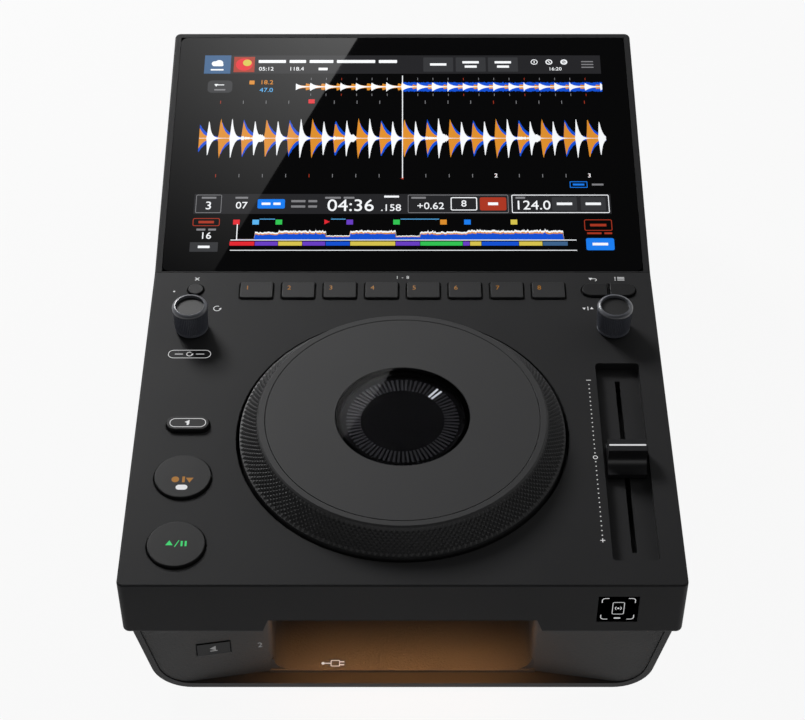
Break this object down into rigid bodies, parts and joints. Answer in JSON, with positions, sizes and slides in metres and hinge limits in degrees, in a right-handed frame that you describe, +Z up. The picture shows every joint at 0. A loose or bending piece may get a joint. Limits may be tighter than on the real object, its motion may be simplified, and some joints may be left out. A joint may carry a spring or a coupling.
{
  "type": "tabletop dj media player",
  "caption": "Tabletop DJ media player with jog wheel, tempo fader, hot cue pads, push knobs, tilted touch screen and a USB shelf in its base.",
  "frame": {"origin": "middle of the footprint, on the table", "axes": "+X to the right, +Y towards the back (the screen end), +Z up"},
  "size_m": [0.252, 0.3686, 0.1121],
  "materials": {
    "case_black": "fine texture, dark grey black",
    "base_grey": "satin paint",
    "fascia_black": "grained",
    "amber_lens": "diffusing, lit amber",
    "foot_rubber": "matte",
    "steel": "bright zinc",
    "screen_glass": "polished, black border",
    "display_black": "display panel",
    "inner_plastic": "moulded",
    "jog_black": "knurled, satin gloss",
    "jog_plate_metal": "black anodised, fine texture",
    "window_gloss": "polished black",
    "board_green": "circuit board",
    "clear_lens": "clear",
    "button_black": "satin",
    "cap_black": "satin, white line",
    "socket_plastic": "moulded",
    "knob_black": "soft touch, ribbed",
    "pad_rubber": "matte"
  },
  "bodies": {
    "player": {"ac_inlet": "socket_plastic", "base_shell": "base_grey", "bearing_inner_race": "steel", "button_boards": "board_green", "case_screws": "steel", "deck_panel": "case_black", "display_cup": "inner_plastic", "encoder_bodies": "steel", "fader_body": "steel", "fader_tray": "case_black", "front_fascia": "fascia_black", "indicator_led": "clear_lens", "jog_base": "inner_plastic", "jog_display": "display_black", "jog_window": "window_gloss", "lan_socket": "steel", "lcd_bracket": "steel", "lcd_module": "display_black", "light_bar": "amber_lens", "main_board": "board_green", "nfc_window": "window_gloss", "position_sensor": "inner_plastic", "power_supply": "board_green", "rca_jacks": "socket_plastic", "rear_panel": "fascia_black", "rubber_feet": "foot_rubber", "screen_housing": "case_black", "tact_switches": "inner_plastic", "touch_glass": "screen_glass", "usb_b_socket": "steel", "usb_socket": "steel"},
    "jog_wheel": {"jog_ring": "jog_black", "jog_plate": "jog_plate_metal", "jog_hub": "inner_plastic", "bearing_outer_race": "steel", "encoder_disc": "steel"},
    "tempo_fader": {"fader_cap": "cap_black", "fader_carriage": "inner_plastic"},
    "loop_turning": {"loop_rotor": "inner_plastic"},
    "loop_pushing": {"loop_shaft": "steel", "loop_knob": "knob_black"},
    "browse_turning": {"browse_rotor": "inner_plastic"},
    "browse_pushing": {"browse_shaft": "steel", "browse_knob": "knob_black"},
    "delete_key": {"delete_button": "button_black"},
    "shift_key": {"shift_button": "button_black"},
    "cue_key": {"cue_button": "button_black"},
    "play_key": {"play_button": "button_black"},
    "back_key": {"back_button": "button_black"},
    "tag_key": {"tag_button": "button_black"},
    "hot_cue_pad_1_key": {"hot_cue_pad_1": "pad_rubber"},
    "hot_cue_pad_2_key": {"hot_cue_pad_2": "pad_rubber"},
    "hot_cue_pad_3_key": {"hot_cue_pad_3": "pad_rubber"},
    "hot_cue_pad_4_key": {"hot_cue_pad_4": "pad_rubber"},
    "hot_cue_pad_5_key": {"hot_cue_pad_5": "pad_rubber"},
    "hot_cue_pad_6_key": {"hot_cue_pad_6": "pad_rubber"},
    "hot_cue_pad_7_key": {"hot_cue_pad_7": "pad_rubber"},
    "hot_cue_pad_8_key": {"hot_cue_pad_8": "pad_rubber"},
    "eject_key": {"eject_button": "button_black"},
    "power_key": {"power_button": "button_black"}
  },
  "joints": [
    {"name": "jog_spin", "type": "hinge", "parent": "player", "child": "jog_wheel", "pos_m": [0, -0.09271, 0.072], "axis": [0, 0, 1], "continuous": true},
    {"name": "tempo_slide", "type": "slide", "parent": "player", "child": "tempo_fader", "axis": [0, 1, 0], "range_m": [-0.05, 0.05]},
    {"name": "loop_turn", "type": "hinge", "parent": "player", "child": "loop_turning", "pos_m": [-0.10415, -0.02181, 0.084], "axis": [0, 0, 1], "continuous": true},
    {"name": "loop_push", "type": "slide", "parent": "loop_turning", "child": "loop_pushing", "axis": [0, 0, -1], "range_m": [0, 0.0005], "stiffness_N_per_m": 500, "springref_m": -0.001},
    {"name": "browse_turn", "type": "hinge", "parent": "player", "child": "browse_turning", "pos_m": [0.10415, -0.02181, 0.084], "axis": [0, 0, 1], "continuous": true},
    {"name": "browse_push", "type": "slide", "parent": "browse_turning", "child": "browse_pushing", "axis": [0, 0, -1], "range_m": [0, 0.0005], "stiffness_N_per_m": 500, "springref_m": -0.001},
    {"name": "delete_press", "type": "slide", "parent": "player", "child": "delete_key", "axis": [0, 0, -1], "range_m": [0, 0.0006], "stiffness_N_per_m": 500, "springref_m": -0.001},
    {"name": "shift_press", "type": "slide", "parent": "player", "child": "shift_key", "axis": [0, 0, -1], "range_m": [0, 0.0008], "stiffness_N_per_m": 500, "springref_m": -0.001},
    {"name": "cue_press", "type": "slide", "parent": "player", "child": "cue_key", "axis": [0, 0, -1], "range_m": [0, 0.0008], "stiffness_N_per_m": 500, "springref_m": -0.001},
    {"name": "play_press", "type": "slide", "parent": "player", "child": "play_key", "axis": [0, 0, -1], "range_m": [0, 0.0008], "stiffness_N_per_m": 500, "springref_m": -0.001},
    {"name": "back_press", "type": "slide", "parent": "player", "child": "back_key", "axis": [0, 0, -1], "range_m": [0, 0.0006], "stiffness_N_per_m": 500, "springref_m": -0.001},
    {"name": "tag_press", "type": "slide", "parent": "player", "child": "tag_key", "axis": [0, 0, -1], "range_m": [0, 0.0006], "stiffness_N_per_m": 500, "springref_m": -0.001},
    {"name": "hot_cue_pad_1_press", "type": "slide", "parent": "player", "child": "hot_cue_pad_1_key", "axis": [0, 0, -1], "range_m": [0, 0.0006], "stiffness_N_per_m": 500, "springref_m": -0.001},
    {"name": "hot_cue_pad_2_press", "type": "slide", "parent": "player", "child": "hot_cue_pad_2_key", "axis": [0, 0, -1], "range_m": [0, 0.0006], "stiffness_N_per_m": 500, "springref_m": -0.001},
    {"name": "hot_cue_pad_3_press", "type": "slide", "parent": "player", "child": "hot_cue_pad_3_key", "axis": [0, 0, -1], "range_m": [0, 0.0006], "stiffness_N_per_m": 500, "springref_m": -0.001},
    {"name": "hot_cue_pad_4_press", "type": "slide", "parent": "player", "child": "hot_cue_pad_4_key", "axis": [0, 0, -1], "range_m": [0, 0.0006], "stiffness_N_per_m": 500, "springref_m": -0.001},
    {"name": "hot_cue_pad_5_press", "type": "slide", "parent": "player", "child": "hot_cue_pad_5_key", "axis": [0, 0, -1], "range_m": [0, 0.0006], "stiffness_N_per_m": 500, "springref_m": -0.001},
    {"name": "hot_cue_pad_6_press", "type": "slide", "parent": "player", "child": "hot_cue_pad_6_key", "axis": [0, 0, -1], "range_m": [0, 0.0006], "stiffness_N_per_m": 500, "springref_m": -0.001},
    {"name": "hot_cue_pad_7_press", "type": "slide", "parent": "player", "child": "hot_cue_pad_7_key", "axis": [0, 0, -1], "range_m": [0, 0.0006], "stiffness_N_per_m": 500, "springref_m": -0.001},
    {"name": "hot_cue_pad_8_press", "type": "slide", "parent": "player", "child": "hot_cue_pad_8_key", "axis": [0, 0, -1], "range_m": [0, 0.0006], "stiffness_N_per_m": 500, "springref_m": -0.001},
    {"name": "eject_press", "type": "slide", "parent": "player", "child": "eject_key", "axis": [-0.1579, 0.9875, 0], "range_m": [0, 0.0005], "stiffness_N_per_m": 500, "springref_m": -0.001},
    {"name": "power_press", "type": "slide", "parent": "player", "child": "power_key", "axis": [0, -1, 0], "range_m": [0, 0.002], "stiffness_N_per_m": 500, "springref_m": -0.001}
  ]
}
